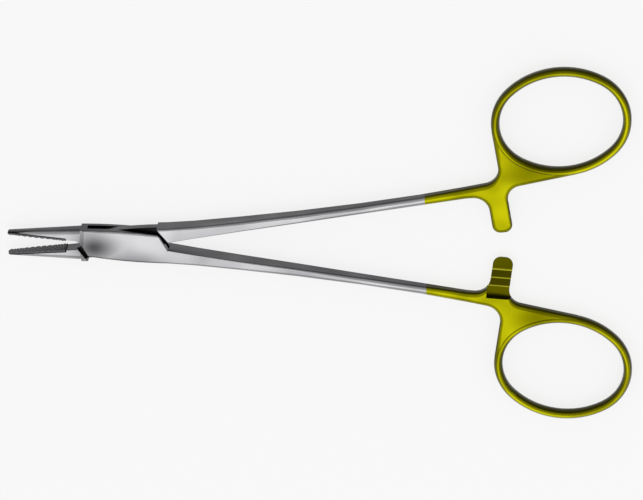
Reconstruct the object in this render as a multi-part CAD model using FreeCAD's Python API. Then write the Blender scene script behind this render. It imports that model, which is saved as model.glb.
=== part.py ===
import FreeCAD, Part
import math
import os

# Surgical needle holder, 150 mm long, with a box lock, gold finger rings and hard jaw inserts.
# All lengths are in millimetres and all angles in degrees.
#
# Origin: on the pivot axis, in the flat lower face of the box lock, which rests on the table.
# +X runs along the instrument to the finger rings, +Y across it, +Z up through the pivot.
#
# Both halves are drawn closed and about their middle plane, with the working faces meeting on
# the X axis: lower jaw, upper shank. The box half is the same blank mirrored. At the end each
# half is turned by half of the rest opening and lifted onto the table.

# Opening
rest_opening = 9.8
closed_gap = 0.06

# Box lock: half its width at the jaws, at its widest and at the shanks
lock_thickness = 4.9
lock_front_side = 3.25
lock_middle_side = 3.75
lock_rear_side = 3.5
lock_front = 9.35
lock_middle = 1.5
lock_rear = 11.95
lock_edge_radius = 0.5
shoulder_run = 2.5
neck_thickness = 1.9
neck_side_gap = 0.05
neck_relief = 0.8
lock_chamfer = 0.2
front_shoulder_gap = 0.65
rear_shoulder_gap = 0.2
pin_diameter = 3.0
pin_clearance = 0.025

# Jaws
jaw_length = 17.5
jaw_tip_width = 0.85
jaw_tip_thickness = 1.9
jaw_tip_radius = 0.7
jaw_root_width = 3.15
jaw_root_thickness = 4.3
jaw_root_radius = 1.3
jaw_nose_radius = 0.4
bevel_length = 1.0
insert_length = 14.2
insert_thickness = 0.7
insert_chamfer = 0.15
groove_pitch = 1.0
groove_depth = 0.2
root_relief = 0.25

# Shank sections: part of the way from lock to web, inner side, outer side, thickness, inner
# edge radius and outer edge radius. The edges are crisp at the lock and round at the web.
shank_shoulder = (0.09, 0.59, 3.44, 4.75, 0.15, 0.55)
shank_neck = (0.24, 1.37, 3.72, 4.45, 0.30, 0.65)
shank_front = (0.44, 2.28, 4.31, 3.95, 0.50, 0.80)
shank_middle = (0.65, 3.31, 5.20, 3.50, 0.75, 0.85)
shank_rear = (0.85, 4.33, 6.34, 3.30, 0.90, 0.90)
shank_inner_radius = 0.12

# Web between shank, ring and ratchet arm
web_run = 7.9
web_low = 5.07
web_high = 7.60
web_thickness = 3.1
web_edge_radius = 1.1
web_rise = 7.0
web_lean = 4.0
web_slope = 8.0
web_outer_radius = 4.0
web_inner_radius = 3.4

# Finger rings: an oval of four arcs with an oval section
ring_run = 16.55
ring_offset = 22.73
ring_lean = 3.4
ring_opening_length = 29.2
ring_opening_width = 23.3
ring_end_radius = 11.2
ring_band = 2.05
ring_thickness = 3.5
ring_flats = 16

# Ratchet arms
ratchet_distance = 91.9
ratchet_lean = 3.6
ratchet_width = 4.8
ratchet_overlap = 4.4
ratchet_end_radius = 1.9
ratchet_root_radius = 3.8
ratchet_face_gap = 0.1
recess_depth = 5.8
recess_side = 3.2
tooth_count = 3
tooth_pitch = 2.15
tooth_depth = 0.6
tooth_land = 0.2
first_tooth = 1.14
floor_rise = 0.3

# Worked out from the sizes above
jaw_reach = lock_front + jaw_length
web_start = ratchet_distance - web_run
ring_distance = ratchet_distance + ring_run
tall = 2 * lock_thickness

# How near two places count as the same
FUZZ = 0.01

V = FreeCAD.Vector
UP = V(0, 0, 1)
ORIGIN = V(0, 0, 0)


def polygon(points):
    """A flat face with straight sides through plan points."""
    corners = [V(x, y, 0) for x, y in points]
    return Part.Face(Part.makePolygon(corners + corners[:1]))


def plate(points, low, high):
    """A plate with straight sides through plan points, between two heights."""
    solid = polygon(points).extrude(UP * (high - low))
    solid.translate(UP * low)
    return solid


def meet(point_a, direction_a, point_b, direction_b):
    """Where two plan lines cross."""
    ax, ay = direction_a
    bx, by = direction_b
    dx = point_b[0] - point_a[0]
    dy = point_b[1] - point_a[1]
    along = (dx * by - dy * bx) / (ax * by - ay * bx)
    return point_a[0] + along * ax, point_a[1] + along * ay


def heading(angle):
    """A plan direction, turned from the X axis."""
    return math.cos(math.radians(angle)), math.sin(math.radians(angle))


def section(x, low, high, thickness, low_radius, high_radius):
    """An upright wire across a bar between two sides, with rounded corners.

    A corner of no radius stays sharp."""
    half = thickness / 2
    corners = [(low + low_radius, low_radius - half, low_radius)]
    corners.append((high - high_radius, high_radius - half, high_radius))
    corners.append((high - high_radius, half - high_radius, high_radius))
    corners.append((low + low_radius, half - low_radius, low_radius))
    ends = []
    edges = []
    for number, (y, z, radius) in enumerate(corners):
        around = []
        for turn in (180, 225, 270):
            across, up = heading(turn + 90 * number)
            around.append(V(x, y + radius * across, z + radius * up))
        if radius:
            edges.append(Part.Arc(*around).toShape())
        ends.append((around[0], around[2]))
    for number, (start, end) in enumerate(ends):
        edges.append(Part.makeLine(end, ends[(number + 1) % 4][0]))
    return Part.Wire(Part.__sortEdges__(edges))


def upright_edges(solid, points):
    """The edges of a plate that stand on given plan points."""
    found = []
    for edge in solid.Edges:
        top, foot = edge.Vertexes[0].Point, edge.Vertexes[-1].Point
        if math.hypot(top.x - foot.x, top.y - foot.y) > FUZZ:
            continue
        for x, y in points:
            if math.hypot(top.x - x, top.y - y) < FUZZ:
                found.append(edge)
    return found


def jaw():
    """The tapered lower jaw, flat on its working face and round at its back."""
    face = -closed_gap / 2
    tip = (-jaw_reach, -jaw_tip_width, face, jaw_tip_thickness, jaw_tip_radius, 0)
    root = (-lock_front, -jaw_root_width, face, jaw_root_thickness, jaw_root_radius, 0)
    solid = Part.makeLoft([section(*tip), section(*root)], True, True)
    nose = []
    for edge in solid.Edges:
        at_tip = edge.BoundBox.XMax < -jaw_reach + FUZZ
        if at_tip and edge.BoundBox.YMin < face - FUZZ:
            nose.append(edge)
    return solid.makeFillet(jaw_nose_radius, nose)


def lock_block():
    """The block of the box lock, full on both sides of the axis and rounded along its edges."""
    stations = [(-lock_front, lock_front_side), (-lock_middle, lock_middle_side)]
    stations.append((lock_rear, lock_rear_side))
    wires = []
    for x, side in stations:
        wires.append(section(x, -side, side, lock_thickness, lock_edge_radius, lock_edge_radius))
    block = Part.makeLoft(wires, True)
    wide = 2 * lock_middle_side
    front = -lock_front
    foot = jaw_root_thickness / 2
    top = lock_thickness / 2
    bevel = [V(front, 0, foot), V(front + bevel_length, 0, top), V(front, 0, top)]
    for sign in (1, -1):
        corners = [V(p.x, -wide / 2, sign * p.z) for p in bevel]
        wedge = Part.Face(Part.makePolygon(corners + corners[:1])).extrude(V(0, wide, 0))
        block = block.cut(wedge)
    return block


def lock_outline():
    """The plan of one half at the lock: the jaw below the axis, the shank above it."""
    out = 2 * lock_middle_side
    run = shoulder_run / lock_middle_side * out
    points = [(-lock_front, 0), (-lock_front, -out), (lock_rear - run, -out), (lock_rear, 0)]
    points += [(lock_rear, out), (-lock_front + run, out)]
    return plate(points, -tall, tall)


def chamfered_lock():
    """The lock of one half, with a chamfer on the slanted edges of its broad faces."""
    block = lock_block().common(lock_outline())
    slanted = []
    for edge in block.Edges:
        span = edge.BoundBox
        broad = abs(abs(span.ZMin) - lock_thickness / 2) < FUZZ and span.ZLength < FUZZ
        if broad and span.YLength > shoulder_run / 3 and span.XLength > shoulder_run / 3:
            slanted.append(edge)
    return block.makeChamfer(lock_chamfer, slanted)


def ring_frame(solid):
    """A solid drawn about the ring's own middle, moved to the ring's place and lean."""
    solid.rotate(ORIGIN, UP, ring_lean)
    solid.translate(V(ring_distance, ring_offset, 0))
    return solid


def oval_arcs(long_half, short_half, end_radius):
    """Middle, radius, start angle and turn of the four arcs of an oval about the origin."""
    end_middle = long_half - end_radius
    side_radius = (end_middle ** 2 / (short_half - end_radius) + end_radius + short_half) / 2
    side_middle = side_radius - short_half
    end_turn = 2 * math.degrees(math.atan2(side_middle, end_middle))
    side_turn = 180 - end_turn
    arcs = []
    for start in (-end_turn / 2, 180 - end_turn / 2):
        across = math.copysign(end_middle, 90 - start)
        arcs.append((V(across, 0, 0), end_radius, start, end_turn))
        up = math.copysign(side_middle, 90 - start)
        arcs.append((V(0, -up, 0), side_radius, start + end_turn, side_turn))
    return arcs


def ring_line():
    """The arcs of the middle line of the ring's band."""
    long_half = (ring_opening_length + ring_band) / 2
    short_half = (ring_opening_width + ring_band) / 2
    return oval_arcs(long_half, short_half, ring_end_radius)


def ring_section():
    """The upright oval section of the ring's band, made of narrow flats that touch the oval."""
    half_turn = 180 / ring_flats
    across = ring_band / 2 / math.cos(math.radians(half_turn))
    up = ring_thickness / 2 / math.cos(math.radians(half_turn))
    corners = []
    for number in range(ring_flats):
        along, rise = heading(half_turn * (2 * number + 1))
        corners.append(V(across * along, 0, up * rise))
    return Part.Face(Part.makePolygon(corners + corners[:1]))


def ring():
    """The finger ring: its section swept round the arcs of the middle line."""
    segments = []
    for middle, radius, start, turned in ring_line():
        segment = ring_section()
        segment.translate(V(radius, 0, 0))
        segment = segment.revolve(ORIGIN, UP, turned)
        segment.rotate(ORIGIN, UP, start)
        segment.translate(middle)
        segments.append(segment)
    return ring_frame(segments[0].fuse(segments[1:]))


def ring_core():
    """The space inside the middle line of the ring's band."""
    edges = []
    for middle, radius, start, turned in ring_line():
        edges.append(Part.makeCircle(radius, middle, UP, start, start + turned))
    core = Part.Face(Part.Wire(Part.__sortEdges__(edges))).extrude(UP * tall)
    core.translate(UP * (-tall / 2))
    return ring_frame(core)


def ring_tangent(angle):
    """The point of the ring's outer edge that faces a plan direction."""
    own = (angle - ring_lean) % 360
    for middle, radius, start, turned in ring_line():
        if (own - start) % 360 <= turned:
            across, up = heading(own)
            reach = radius + ring_band / 2
            point = middle + V(reach * across, reach * up, 0)
    placed = ring_frame(Part.Vertex(point))
    return placed.Point.x, placed.Point.y


def web():
    """The flat web at the root of the ring, with the ratchet arm that crosses the axis."""
    half = ratchet_width / 2 / math.cos(math.radians(ratchet_lean))
    down = heading(ratchet_lean - 90)
    left = heading(web_lean - 90)
    rise = heading(web_rise)
    slope = heading(web_slope)
    top_start = (web_start, web_high)
    low_start = (web_start, web_low)
    left_tangent = ring_tangent(180 + web_lean)
    low_tangent = ring_tangent(270 + web_slope)
    corner_high = meet(left_tangent, left, top_start, rise)
    arm_left = (ratchet_distance - half, 0)
    arm_right = (ratchet_distance + half, 0)
    corner_left = meet(arm_left, down, low_start, (1, 0))
    corner_right = meet(arm_right, down, low_tangent, slope)
    end_line = (0, -ratchet_overlap)
    foot_left = meet(arm_left, down, end_line, (1, 0))
    foot_right = meet(arm_right, down, end_line, (1, 0))
    outline = [left_tangent, corner_high, top_start, low_start, corner_left, foot_left]
    outline += [foot_right, corner_right, low_tangent, (ring_distance, ring_offset)]
    solid = plate(outline, -web_thickness / 2, web_thickness / 2)
    solid = solid.makeFillet(web_outer_radius, upright_edges(solid, [corner_high]))
    solid = solid.makeFillet(ratchet_root_radius, upright_edges(solid, [corner_left]))
    solid = solid.makeFillet(web_inner_radius, upright_edges(solid, [corner_right]))
    solid = solid.makeFillet(ratchet_end_radius, upright_edges(solid, [foot_left, foot_right]))
    solid = solid.cut(ring_core())
    return solid.makeFillet(web_edge_radius, web_rims(solid))


def web_rims(solid):
    """The level edges of the web that show: not those at its start or inside the ring."""
    core = ring_core()
    found = []
    for edge in solid.Edges:
        middle = edge.valueAt((edge.FirstParameter + edge.LastParameter) / 2)
        level = edge.BoundBox.ZLength < FUZZ
        at_start = edge.BoundBox.XMax < web_start + FUZZ
        in_ring = core.distToShape(Part.Vertex(middle))[0] < ring_band / 4
        if level and not at_start and not in_ring:
            found.append(edge)
    return found


def shank(web_solid):
    """The shank, from the end of the lock block to the end face of the web."""
    start = (0, 0, lock_rear_side, lock_thickness, shank_inner_radius, lock_edge_radius)
    stations = [start, shank_shoulder, shank_neck, shank_front, shank_middle, shank_rear]
    length = web_start - lock_rear
    wires = [section(lock_rear + part * length, *sizes) for part, *sizes in stations]
    for face in web_solid.Faces:
        if face.BoundBox.XMax < web_start + FUZZ:
            wires.append(face.OuterWire)
    return Part.makeLoft(wires, True, True)


def lock_band(low, high):
    """The slanted band in which one half covers the other, a slab between two heights.

    It slants as the shoulders of the half whose jaw is below the X axis."""
    out = 2 * lock_middle_side
    run = shoulder_run / lock_middle_side * out
    front = -lock_front - front_shoulder_gap
    rear = lock_rear + rear_shoulder_gap
    points = [(front - run, out), (front + run, -out), (rear + run, -out), (rear - run, out)]
    return plate(points, low, high)


def mirrored(solid):
    """The same piece on the other side of the X axis."""
    return solid.mirror(ORIGIN, V(0, 1, 0))


def ratchet_cut():
    """What is cut from the upper arm: the other arm's space, with its own row of teeth left.

    Each tooth climbs on a ramp from the arm's end and drops on the side of its own shank."""
    face = ratchet_face_gap / 2
    root = face + tooth_depth
    profile = [(-2 * ratchet_overlap, -tall), (-2 * ratchet_overlap, root), (-ratchet_overlap, root)]
    for number in range(tooth_count):
        crest = -first_tooth + number * tooth_pitch
        profile += [(crest - tooth_land, face), (crest, face), (crest, root)]
    profile += [(recess_depth, root - floor_rise), (recess_depth, -tall)]
    left = ratchet_distance - recess_side
    corners = [V(left, y, z) for y, z in profile]
    side = Part.Face(Part.makePolygon(corners + corners[:1]))
    return side.extrude(V(3 * recess_side, 0, 0))


def jaw_seat(extra):
    """The pocket of the hard insert along the working face of the lower jaw."""
    length = insert_length + extra
    depth = insert_thickness + closed_gap / 2
    corner = V(-jaw_reach - extra, -depth, -tall / 2)
    return Part.makeBox(length, depth + closed_gap, tall, corner)


def root_gap():
    """The shallow step behind the insert, where the jaws stand clear of each other."""
    length = jaw_length - insert_length - front_shoulder_gap
    depth = root_relief + closed_gap / 2
    corner = V(-jaw_reach + insert_length, -depth, -tall / 2)
    return Part.makeBox(length, depth + closed_gap, tall, corner)


def face_grooves():
    """V-grooves that cross each other at right angles over the working face of an insert."""
    face = -closed_gap / 2
    reach = 2 * jaw_root_thickness
    corners = [V(-reach / 2, face + groove_depth, -2 * groove_depth)]
    corners.append(V(-reach / 2, face + groove_depth, 2 * groove_depth))
    corners.append(V(-reach / 2, face - groove_depth, 0))
    groove = Part.Face(Part.makePolygon(corners + corners[:1])).extrude(V(reach, 0, 0))
    step = groove_pitch * math.sqrt(2)
    grooves = []
    for number in range(int((insert_length + jaw_root_thickness) / step) + 1):
        for slope in (45, -45):
            one = groove.copy()
            one.rotate(ORIGIN, V(0, 1, 0), slope)
            one.translate(V(-jaw_reach - jaw_root_thickness / 2 + number * step, 0, 0))
            grooves.append(one)
    return grooves


def insert(jaw_solid):
    """The hard insert of the lower jaw, with the edges chamfered where it is brazed in."""
    solid = jaw_solid.common(jaw_seat(0))
    back = -insert_thickness - closed_gap / 2
    edges = []
    for edge in solid.Edges:
        span = edge.BoundBox
        at_back = abs(span.YMin - back) < FUZZ and abs(span.YMax - back) < FUZZ
        if at_back and span.XLength > insert_length / 2:
            edges.append(edge)
    return solid.makeChamfer(insert_chamfer, edges).cut(face_grooves())


def closed_male(blank):
    """The half with the neck: lower jaw and upper shank."""
    neck = neck_thickness / 2
    half = blank.cut([lock_band(-tall, -neck), lock_band(neck, tall)])
    side = lock_middle_side - neck_relief
    beside = Part.makeBox(tall * 4, tall, tall, V(-tall * 2, -side - tall, -tall / 2))
    half = half.cut(lock_band(-neck, neck).common(beside))
    half = half.cut(Part.makeCylinder(pin_diameter / 2 + pin_clearance, tall, V(0, 0, -tall / 2)))
    return half.cut(ratchet_cut())


def closed_box(blank):
    """The half with the slotted box: upper jaw and lower shank."""
    slot = neck_thickness / 2 + neck_side_gap
    half = mirrored(blank.cut(lock_band(-slot, slot)))
    half = half.cut(Part.makeCylinder(pin_diameter / 2, tall, V(0, 0, -tall / 2)))
    # The lower arm's teeth face up, so the cut is the upper arm's turned half a turn about X.
    cut = ratchet_cut()
    cut.rotate(ORIGIN, V(1, 0, 0), 180)
    return half.cut(cut)


jaw_blank = jaw()
web_blank = web()
block = chamfered_lock()
blank = block.fuse([jaw_blank, shank(web_blank), web_blank, ring()])
blank = blank.cut([jaw_seat(1), root_gap()])
jaw_insert = insert(jaw_blank)
pin = Part.makeCylinder(pin_diameter / 2, lock_thickness, V(0, 0, -lock_thickness / 2))
turn = rest_opening / 2
nodes = {
    "box_half": (closed_box(blank), -turn),
    "male_half": (closed_male(blank), turn),
    "pivot_pin": (pin, -turn),
    "upper_jaw_insert": (mirrored(jaw_insert), -turn),
    "lower_jaw_insert": (jaw_insert, turn),
}
os.makedirs("parts", exist_ok=True)
for name, (shape, angle) in nodes.items():
    placed = shape.copy()
    placed.rotate(ORIGIN, UP, angle)
    placed.translate(UP * (lock_thickness / 2))
    placed.exportStep("parts/" + name + ".step")
    print(name, round(placed.Volume, 1), placed.isValid(), len(placed.Solids), len(placed.Faces))
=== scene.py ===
# %% [markdown]
# # A needle holder in satin steel and gold
# The instrument is two forged halves that cross in a box lock, a flush pin, and two hard
# inserts in the jaws. The solids come ready made in the frame, at their real size and in
# metres, so this script only dresses them: finish, light and camera.

# %% Load the frame
import math
import bpy
from mathutils import Matrix, Vector


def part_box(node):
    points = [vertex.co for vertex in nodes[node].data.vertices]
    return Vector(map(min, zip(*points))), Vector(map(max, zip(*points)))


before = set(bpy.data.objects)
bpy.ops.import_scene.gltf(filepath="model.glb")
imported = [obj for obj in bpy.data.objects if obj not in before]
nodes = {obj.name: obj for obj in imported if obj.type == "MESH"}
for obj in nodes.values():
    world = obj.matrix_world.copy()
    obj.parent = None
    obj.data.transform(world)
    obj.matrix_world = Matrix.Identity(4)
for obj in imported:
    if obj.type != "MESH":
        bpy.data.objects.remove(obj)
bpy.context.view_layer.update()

MM = 0.001

# %% [markdown]
# The camera of the photograph looked down on the instrument from a long way off, tipped a
# little towards +Y, so the sides that face +Y show as a narrow band. A long lens from over a
# metre away keeps the two rings almost the same size. The lens follows from the scale wanted:
# how many pixels one millimetre of the instrument covers.

# %% The camera
FRAME_WIDTH = 643
CAMERA_TILT = math.radians(24.7)
CAMERA_TURN = math.radians(10.2)
CAMERA_ROLL = math.radians(-1.59)
CAMERA_DISTANCE = 1275 * MM
SENSOR_WIDTH = 36
FAR_CLIP = 10
PIXELS_PER_MM = 4.182
LOCK_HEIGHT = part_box("box_half")[1].z
MIDDLE = LOCK_HEIGHT / 2
LOOK_AT = Vector((48.6 * MM, -1.67 * MM, MIDDLE))


def add_camera():
    """A long lens above the instrument, set so that 1 mm there covers PIXELS_PER_MM."""
    data = bpy.data.cameras.new("camera")
    camera = bpy.data.objects.new("camera", data)
    bpy.context.collection.objects.link(camera)
    away = Vector((math.sin(CAMERA_TILT) * math.sin(CAMERA_TURN),
                   math.sin(CAMERA_TILT) * math.cos(CAMERA_TURN),
                   math.cos(CAMERA_TILT)))
    up = Vector((0, 1, 0)) - away * away.y
    up.normalize()
    right = up.cross(away)
    turned_right = right * math.cos(CAMERA_ROLL) + up * math.sin(CAMERA_ROLL)
    turned_up = up * math.cos(CAMERA_ROLL) - right * math.sin(CAMERA_ROLL)
    axes = Matrix((turned_right, turned_up, away)).transposed().to_4x4()
    camera.matrix_world = Matrix.Translation(LOOK_AT + away * CAMERA_DISTANCE) @ axes
    data.sensor_width = SENSOR_WIDTH
    data.lens = PIXELS_PER_MM / MM * CAMERA_DISTANCE / FRAME_WIDTH * SENSOR_WIDTH
    data.clip_end = FAR_CLIP
    bpy.context.scene.camera = camera
    return camera


camera = add_camera()
print("lens", round(camera.data.lens), "mm")

# %% [markdown]
# The solids arrive as loose triangles, one group for each face of the CAD model. Welding joins
# them, splitting at the sharp edges keeps those crisp, and weighted normals let the rounded
# edges and the rings' narrow flats flow into one another, as polishing does on the real one.
# Subdividing would round the box lock's edges away, so it is left out.

# %% Smooth shading
SHARP_ANGLE = math.radians(32)
WELD_DISTANCE = 0.002 * MM


def smooth(node):
    """Joins a node's triangles and shades it smooth between its sharp edges."""
    weld = node.modifiers.new("weld", "WELD")
    weld.merge_threshold = WELD_DISTANCE
    split = node.modifiers.new("sharp_edges", "EDGE_SPLIT")
    split.split_angle = SHARP_ANGLE
    normals = node.modifiers.new("normals", "WEIGHTED_NORMAL")
    normals.keep_sharp = True


for node in nodes.values():
    smooth(node)
print("smoothed", len(nodes), "nodes")

# %% [markdown]
# Colours are written as sRGB hex, the way a colour picker shows them, and one function turns
# them to the linear light that Blender counts in. A second small function adds a node: a socket
# that is given another node's output is linked to it, and any other value is set on the socket.

# %% Helpers for materials


def linear(hex_colour):
    """An sRGB hex colour as linear RGBA."""
    channels = [int(hex_colour[i:i + 2], 16) / 255 for i in (1, 3, 5)]
    return [c / 12.92 if c <= 0.04045 else ((c + 0.055) / 1.055) ** 2.4 for c in channels] + [1]


def add_node(tree, kind, settings=None, inputs=None):
    """Adds a node, sets its properties, and links or sets its input sockets."""
    node = tree.nodes.new(kind)
    for name, value in (settings or {}).items():
        setattr(node, name, value)
    for name, value in (inputs or {}).items():
        if isinstance(value, bpy.types.NodeSocket):
            tree.links.new(value, node.inputs[name])
        else:
            node.inputs[name].default_value = value
    return node


def new_material(name):
    """An empty node material and its tree."""
    material = bpy.data.materials.new(name)
    material.use_nodes = True
    material.node_tree.nodes.clear()
    return material, material.node_tree


print("the middle grey #808080 is", round(linear("#808080")[0], 3), "in linear light")

# %% [markdown]
# Surgical steel is a hardened stainless steel. Its broad faces are ground by hand on a belt and
# then given a satin brush, so they are not quite flat: slow waves bend the reflection of the
# lamp into lighter and darker stretches, and fine scratches along the instrument spread it.
# Both could be modelled, but they are far shallower than the mesh is fine, so bump is enough.
# A real scratch is some 0.02 mm wide, too fine to show here, so it is drawn about ten times
# wider.

# %% The ground surface
WAVE_LENGTH = 12 * MM
WAVE_HEIGHT = 1.0 * MM
SCRATCH_WIDTH = 0.25 * MM
SCRATCH_HEIGHT = 0.004 * MM
SCRATCH_STRETCH = 0.06


def ground_surface(tree, place):
    """The normal of a hand-ground face: wide waves with fine scratches along X on them."""
    waves = add_node(tree, "ShaderNodeTexNoise", inputs={
        "Vector": place, "Scale": 1 / WAVE_LENGTH, "Detail": 1.0})
    bent = add_node(tree, "ShaderNodeBump", inputs={
        "Height": waves.outputs[0], "Strength": 1.0, "Distance": WAVE_HEIGHT})
    longwise = add_node(tree, "ShaderNodeMapping", inputs={
        "Vector": place, "Scale": (SCRATCH_STRETCH, 1, 1)})
    scratches = add_node(tree, "ShaderNodeTexNoise", inputs={
        "Vector": longwise.outputs[0], "Scale": 1 / SCRATCH_WIDTH, "Detail": 2.0})
    return add_node(tree, "ShaderNodeBump", inputs={
        "Height": scratches.outputs[0], "Normal": bent.outputs[0],
        "Strength": 1.0, "Distance": SCRATCH_HEIGHT}).outputs[0]


print("waves", round(WAVE_LENGTH / MM), "mm long, scratches", round(SCRATCH_WIDTH / MM, 2), "mm")

# %% [markdown]
# The narrow sides take a painted shade, darker than the broad faces, which is what gives the
# instrument its dark outline. The surface normal tells the two apart: it points up or down on a
# broad face. A painted mask would do as well, but the normal follows every rounded edge without
# a seam.

# %% Broad faces and the painted shade of the sides
SIDE_FACING = 0.45
FACE_FACING = 0.92


def broad_face_mask(tree):
    """1 on the broad faces, 0 on the painted-shade sides, with a soft step over the rounded edges.
    """
    normal = add_node(tree, "ShaderNodeTexCoord").outputs["Normal"]
    parts = add_node(tree, "ShaderNodeSeparateXYZ", inputs={0: normal})
    level = add_node(tree, "ShaderNodeMath", {"operation": "ABSOLUTE"}, {0: parts.outputs["Z"]})
    return add_node(tree, "ShaderNodeMapRange", {"interpolation_type": "SMOOTHSTEP"}, {
        "Value": level.outputs[0], "From Min": SIDE_FACING, "From Max": FACE_FACING}).outputs[0]


# faces steeper than this take the painted side shade
print("belt reaches faces within", round(math.degrees(math.acos(FACE_FACING))), "degrees of level")

# %% [markdown]
# The lock and the ratchet are cut down to the middle of the thickness, and those faces take a
# painted shade. The ratchet's crests take a thin painted highlight: without these lines the
# teeth would run into one dark patch. Both are told by how far a point is from the middle plane.

# %% Painted shade in the cuts, painted highlight on the crests
CUT_REACH = 1.0 * MM
CREST_REACH = 0.05 * MM
EDGE_BLEND = 0.06 * MM


def cut_masks(tree, height):
    """Two masks by distance from the middle: 1 past the cut shade, 1 past the crest highlight."""
    above = add_node(tree, "ShaderNodeMath", {"operation": "SUBTRACT"}, {0: height, 1: MIDDLE})
    distance = add_node(tree, "ShaderNodeMath", {"operation": "ABSOLUTE"}, {0: above.outputs[0]})
    masks = []
    for reach in (CUT_REACH, CREST_REACH):
        past = add_node(tree, "ShaderNodeMapRange", inputs={
            "Value": distance.outputs[0], "From Min": reach, "From Max": reach + EDGE_BLEND})
        masks.append(past.outputs[0])
    return masks


print("cuts reach", round(CUT_REACH / MM, 2), "mm from the middle, at", round(MIDDLE / MM, 2), "mm")

# %% [markdown]
# A soft patch of painted shade, standing in for a darker reflection, lies on the box lock by its
# front shoulder, a longer one along its far edge, and one in each handle's web and beside the
# ratchet arm. Each is a ball of shade with its centre in the piece, squeezed to the patch's
# length and width, and stretched in height to reach both broad faces.
# The patches are (centre, reach) pairs in millimetres from the pin.

# %% Shaded patches
# patches of painted shade, standing in for darker reflections
BOX_SHADES = (((-5.8, -0.3), (8.5, 6.0)), ((2.0, -6.8), (15.0, 7.4)))
HANDLE_SHADES = (((99, 20.5), (10.5, 8.0)),
                 ((100, -18.5), (11.0, 7.0)),
                 ((97, 10.0), (4.0, 9.0)))
SHADE_HEIGHT = 1000


def shade(tree, place, patches):
    """1 in the middle of each patch, fading to 0 at its reach."""
    deepest = None
    for centre, reach in patches:
        local = add_node(tree, "ShaderNodeMapping", {"vector_type": "TEXTURE"}, {
            "Vector": place, "Location": (centre[0] * MM, centre[1] * MM, 0),
            "Scale": (reach[0] * MM, reach[1] * MM, SHADE_HEIGHT * MM)})
        ball = add_node(tree, "ShaderNodeTexGradient", {"gradient_type": "SPHERICAL"}, {
            "Vector": local.outputs[0]})
        soft = add_node(tree, "ShaderNodeMapRange", {"interpolation_type": "SMOOTHSTEP"}, {
            "Value": ball.outputs[1]})
        if deepest is None:
            deepest = soft
        else:
            deepest = add_node(tree, "ShaderNodeMath", {"operation": "MAXIMUM"}, {
                0: deepest.outputs[0], 1: soft.outputs[0]})
    return deepest.outputs[0]


print("shaded patches", len(BOX_SHADES), "on the box lock,", len(HANDLE_SHADES), "on the handles")

# %% [markdown]
# The handles are gold plated, the mark of an instrument with hard inserts. The plate copies the
# surface of the steel below it and ends at a masked line, so one material carries both finishes
# and only its colour changes there: two materials would need the mesh cut at that line. Satin
# stainless steel shows the eye a soft bright grey, and the plate a brassy yellow that turns
# olive in its shadows. Each finish is a set of colours: its own face and drift colours, painted
# shade for the sides, the cuts and the shaded patches, and a painted highlight for the crests.

# %% The two finishes
# Each set: the metal's own face and drift colours, painted shade for sides, cuts and patches,
# and a painted highlight for the ratchet's crests.
STEEL = {"face": "#C6C6C8", "drift": "#B0B0B3", "side": "#48484B", "cut": "#1C1C1D",
         "crest": "#B8B8BA", "shade": "#4C4C4F"}
GOLD = {"face": "#BCB90A", "drift": "#8E8B04", "side": "#2E2C00", "cut": "#524F00",
        "crest": "#9C9926", "shade": "#757200"}


def finish_colour(tree, finish, shaded, drift, broad_face, outside_cut_shade, off_crest_highlight):
    """Its face colour, painted shade on sides, cuts and patches, painted highlight on crests."""
    satin = add_node(tree, "ShaderNodeMix", {"data_type": "RGBA"}, {
        0: drift, 6: linear(finish["face"]), 7: linear(finish["drift"])})
    # painted shade in the shaded patches
    face = add_node(tree, "ShaderNodeMix", {"data_type": "RGBA"}, {
        0: shaded, 6: satin.outputs[2], 7: linear(finish["shade"])})
    # painted highlight on the crests, set in the painted shade of the cuts
    cut = add_node(tree, "ShaderNodeMix", {"data_type": "RGBA"}, {
        0: off_crest_highlight, 6: linear(finish["crest"]), 7: linear(finish["cut"])})
    level = add_node(tree, "ShaderNodeMix", {"data_type": "RGBA"}, {
        0: outside_cut_shade, 6: cut.outputs[2], 7: face.outputs[2]})
    # painted shade on the sides
    return add_node(tree, "ShaderNodeMix", {"data_type": "RGBA"}, {
        0: broad_face, 6: linear(finish["side"]), 7: level.outputs[2]}).outputs[2]


print("finish colours", list(STEEL))

# %% [markdown]
# The metal joins the masks to the two finishes. Slow noise lets each colour drift a little along
# the instrument, as satin does, and a step in X is the edge of the plater's mask. A metal takes
# its whole colour from what it mirrors, so metallic is 1, and the satin's roughness is 0.26: a
# mirror finish would be near 0.05, a sandblasted one near 0.5.

# %% Satin stainless steel with gold plated handles
GOLD_START = 73.6 * MM
DRIFT_LENGTH = 16 * MM
DRIFT_LOW = 0.35
DRIFT_HIGH = 0.65
METAL_ROUGHNESS = 0.26


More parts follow.
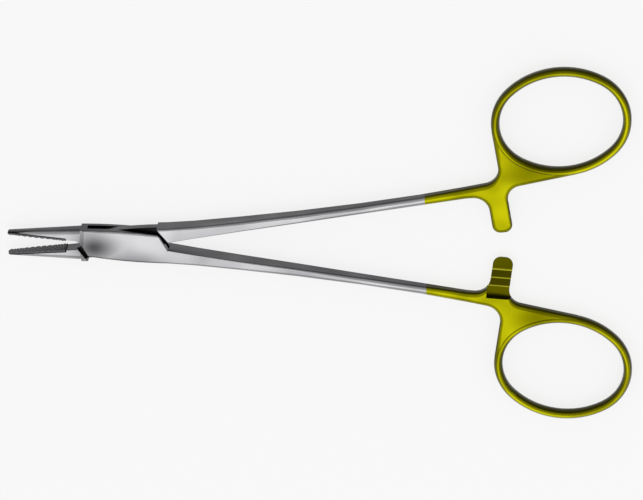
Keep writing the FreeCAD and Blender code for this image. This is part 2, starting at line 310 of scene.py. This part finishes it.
def instrument_metal():
    """Satin stainless steel that ends at a sharp line, with gold plate beyond it."""
    material, tree = new_material("satin_stainless_steel_and_gold_plate")
    place = add_node(tree, "ShaderNodeTexCoord").outputs["Object"]
    parts = add_node(tree, "ShaderNodeSeparateXYZ", inputs={0: place}).outputs
    gilded = add_node(tree, "ShaderNodeMath", {"operation": "GREATER_THAN"}, {
        0: parts["X"], 1: GOLD_START})
    slow = add_node(tree, "ShaderNodeTexNoise", inputs={
        "Vector": place, "Scale": 1 / DRIFT_LENGTH})
    drift = add_node(tree, "ShaderNodeMapRange", {"interpolation_type": "SMOOTHSTEP"}, {
        "Value": slow.outputs[0], "From Min": DRIFT_LOW, "From Max": DRIFT_HIGH})
    masks = drift.outputs[0], broad_face_mask(tree), *cut_masks(tree, parts["Z"])
    steel = finish_colour(tree, STEEL, shade(tree, place, BOX_SHADES), *masks)
    gold = finish_colour(tree, GOLD, shade(tree, place, HANDLE_SHADES), *masks)
    colour = add_node(tree, "ShaderNodeMix", {"data_type": "RGBA"}, {
        0: gilded.outputs[0], 6: steel, 7: gold})
    shader = add_node(tree, "ShaderNodeBsdfPrincipled", inputs={
        "Base Color": colour.outputs[2], "Normal": ground_surface(tree, place),
        "Metallic": 1.0, "Roughness": METAL_ROUGHNESS})
    add_node(tree, "ShaderNodeOutputMaterial", inputs={"Surface": shader.outputs[0]})
    return material


metal = instrument_metal()
print("metal", metal.name, "gold from", round(GOLD_START / MM, 1), "mm behind the pin")

# %% [markdown]
# Each insert is brazed into a seat in its jaw, and the joint shows as a black line below and
# behind it. The two inserts mirror each other, so folding Y and turning it by half of the
# resting opening lays both along one axis, where the line is only a step in depth or in length.
# A real joint is some 0.05 mm wide and is drawn wider, as far as it needs to show.

# %% The brazed joint
HALF_OPENING = math.radians(4.9)
BRAZE_DEPTH = 0.5 * MM
BRAZE_END = -12.9 * MM


def braze_line(tree, place):
    """1 on the brazed joint below and behind an insert, 0 on the insert itself."""
    parts = add_node(tree, "ShaderNodeSeparateXYZ", inputs={0: place}).outputs
    folded = add_node(tree, "ShaderNodeMath", {"operation": "ABSOLUTE"}, {0: parts["Y"]})
    joined = add_node(tree, "ShaderNodeCombineXYZ", inputs={
        "X": parts["X"], "Y": folded.outputs[0]})
    turned = add_node(tree, "ShaderNodeMapping", inputs={
        "Vector": joined.outputs[0], "Rotation": (0, 0, HALF_OPENING)})
    along = add_node(tree, "ShaderNodeSeparateXYZ", inputs={0: turned.outputs[0]}).outputs
    deep = add_node(tree, "ShaderNodeMath", {"operation": "GREATER_THAN"}, {
        0: along["Y"], 1: BRAZE_DEPTH})
    behind = add_node(tree, "ShaderNodeMath", {"operation": "GREATER_THAN"}, {
        0: along["X"], 1: BRAZE_END})
    return add_node(tree, "ShaderNodeMath", {"operation": "MAXIMUM"}, {
        0: deep.outputs[0], 1: behind.outputs[0]}).outputs[0]


print("joint below", round(BRAZE_DEPTH / MM, 2), "mm and behind", round(BRAZE_END / MM, 1), "mm")

# %% [markdown]
# The jaws are faced with sintered tungsten carbide, pressed from powder, fired, and ground with
# diamond. It shows the eye a dull dark grey, with a grain of about 0.3 mm where the diamond has
# pulled it. It is a metal to the light, only rougher than the steel around it. Its cross-cut is
# in the mesh, so the material needs no bump.

# %% Sintered tungsten carbide
CARBIDE_GRAIN = 0.3 * MM
CARBIDE_DARK = "#5A5A5C"
CARBIDE_PULLED = "#6E6E71"
CARBIDE_ROUGHNESS = 0.45
BRAZE = "#121212"


def carbide():
    """Sintered tungsten carbide with its brazed joint."""
    material, tree = new_material("sintered_tungsten_carbide")
    place = add_node(tree, "ShaderNodeTexCoord").outputs["Object"]
    grain = add_node(tree, "ShaderNodeTexNoise", inputs={
        "Vector": place, "Scale": 1 / CARBIDE_GRAIN})
    tint = add_node(tree, "ShaderNodeMix", {"data_type": "RGBA"}, {
        0: grain.outputs[0], 6: linear(CARBIDE_DARK), 7: linear(CARBIDE_PULLED)})
    colour = add_node(tree, "ShaderNodeMix", {"data_type": "RGBA"}, {
        0: braze_line(tree, place), 6: tint.outputs[2], 7: linear(BRAZE)})
    shader = add_node(tree, "ShaderNodeBsdfPrincipled", inputs={
        "Base Color": colour.outputs[2], "Metallic": 1.0, "Roughness": CARBIDE_ROUGHNESS})
    add_node(tree, "ShaderNodeOutputMaterial", inputs={"Surface": shader.outputs[0]})
    return material


hard = carbide()
print("inserts", hard.name, "with a grain of", round(CARBIDE_GRAIN / MM, 2), "mm")

# %% [markdown]
# A piece has one material slot, filled with the metal or, on the inserts, with the carbide. The
# slots are cleared first, because the solids come with a plain stand-in material.

# %% Dress the pieces
for name, node in nodes.items():
    node.data.materials.clear()
    node.data.materials.append(hard if "insert" in name else metal)
    print(name, "is", node.data.materials[0].name)

# %% [markdown]
# The photograph has a plain white ground. The floor is white paper, lit as everything is, and
# part of what the camera sees of it is plain white of strength 1, so it comes close to white
# while the object's soft shadow stays. Metal is given the same view of it, as it mirrors the
# floor in its sides. More light would whiten the paper too, but would bleach the object.

# %% The floor
FLOOR_SIZE = 4.0
FLOOR_WHITENESS = 0.8
PAPER = "#FBFBFB"
PAPER_ROUGHNESS = 0.9


def add_floor():
    """White paper under the instrument, smooth enough to show no texture."""
    bpy.ops.mesh.primitive_plane_add(size=FLOOR_SIZE)
    floor = bpy.context.object
    floor.name = "floor"
    material, tree = new_material("white_paper")
    paper = add_node(tree, "ShaderNodeBsdfPrincipled", inputs={
        "Base Color": linear(PAPER), "Roughness": PAPER_ROUGHNESS})
    white = add_node(tree, "ShaderNodeEmission", inputs={"Strength": 1.0})
    seen = add_node(tree, "ShaderNodeLightPath").outputs
    mirrored = add_node(tree, "ShaderNodeMath", {"operation": "MAXIMUM"}, {
        0: seen["Is Glossy Ray"], 1: seen["Is Transmission Ray"]})
    direct = add_node(tree, "ShaderNodeMath", {"operation": "MAXIMUM"}, {
        0: seen["Is Camera Ray"], 1: mirrored.outputs[0]})
    share = add_node(tree, "ShaderNodeMath", {"operation": "MULTIPLY"}, {
        0: direct.outputs[0], 1: FLOOR_WHITENESS})
    shader = add_node(tree, "ShaderNodeMixShader", inputs={
        0: share.outputs[0], 1: paper.outputs[0], 2: white.outputs[0]})
    add_node(tree, "ShaderNodeOutputMaterial", inputs={"Surface": shader.outputs[0]})
    floor.data.materials.append(material)
    return floor


floor = add_floor()
print("floor", FLOOR_SIZE, "m wide")

# %% [markdown]
# One softbox hangs where the broad faces mirror it, so they look bright and even, and it stops
# close beside that place, so that a wave in the metal finds its edge and darkens. The world
# fills in from all round. What a broad face mirrors is the softbox and the world behind it
# together, 1.4 in all: the metal renders a little brighter than its colour is written, while
# the matt paper, which the world lights most, renders a little darker. Both stay off clipping.

# %% Softbox and world
BOX_WIDTH = 2.6
BOX_DEPTH = 0.58
BOX_GLOW = 0.85
BOX_PLACE = (0.6, -0.31, 1.0)
WORLD_GLOW = 0.55


def add_softbox(place, width, depth, glow):
    """A rectangular lamp that faces straight down, where a glow of 1 mirrors as white."""
    data = bpy.data.lights.new("softbox", "AREA")
    data.shape = "RECTANGLE"
    data.size = width
    data.size_y = depth
    data.energy = glow * math.pi * width * depth
    lamp = bpy.data.objects.new("softbox", data)
    bpy.context.collection.objects.link(lamp)
    lamp.location = place
    return lamp


lamp = add_softbox(BOX_PLACE, BOX_WIDTH, BOX_DEPTH, BOX_GLOW)
world = bpy.data.worlds.new("studio")
bpy.context.scene.world = world
world.use_nodes = True
world.node_tree.nodes["Background"].inputs["Color"].default_value = linear("#FFFFFF")
world.node_tree.nodes["Background"].inputs["Strength"].default_value = WORLD_GLOW
bpy.context.scene.view_settings.view_transform = "Standard"
print("softbox", round(lamp.data.energy, 1), "W, faces mirror", round(BOX_GLOW + WORLD_GLOW, 2))
